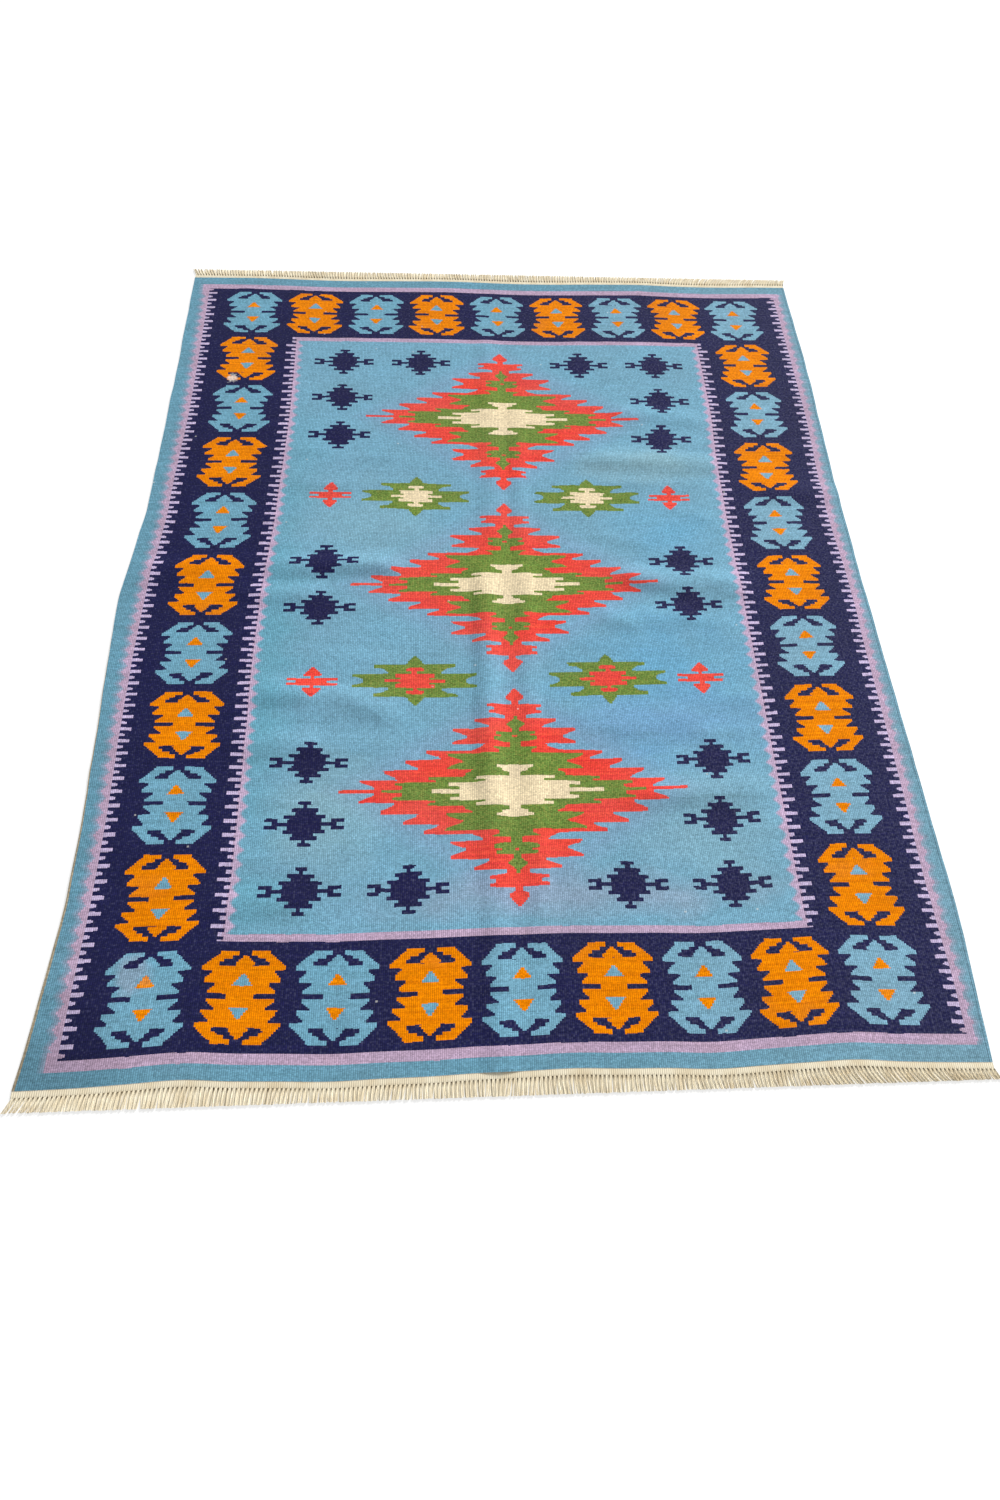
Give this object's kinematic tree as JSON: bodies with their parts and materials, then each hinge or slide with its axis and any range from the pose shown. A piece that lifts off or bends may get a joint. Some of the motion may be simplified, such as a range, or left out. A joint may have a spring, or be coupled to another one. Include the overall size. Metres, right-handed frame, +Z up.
{
  "type": "kilim rug",
  "caption": "Flat-woven kilim rug lying on a floor, with soft creases, cream woven headings and a short warp fringe at both ends.",
  "frame": {"origin": "on the floor under the middle of the rug's outline", "axes": "+Z up from the floor, Y along the rug's length from the near fringe to the far fringe, X across its width"},
  "size_m": [1.8324, 2.2738, 0.011],
  "materials": {
    "wool_weave": "matt weft-faced wool weave in light blue, navy, orange, coral red, green, lilac pink and cream, ribbed along the warp",
    "warp_cotton": "matt undyed cream warp yarn, twisted, left as a fringe under a narrow woven heading"
  },
  "bodies": {
    "root": {"rug_cloth": "wool_weave", "fringe_near": "warp_cotton", "fringe_far": "warp_cotton"}
  },
  "joints": []
}
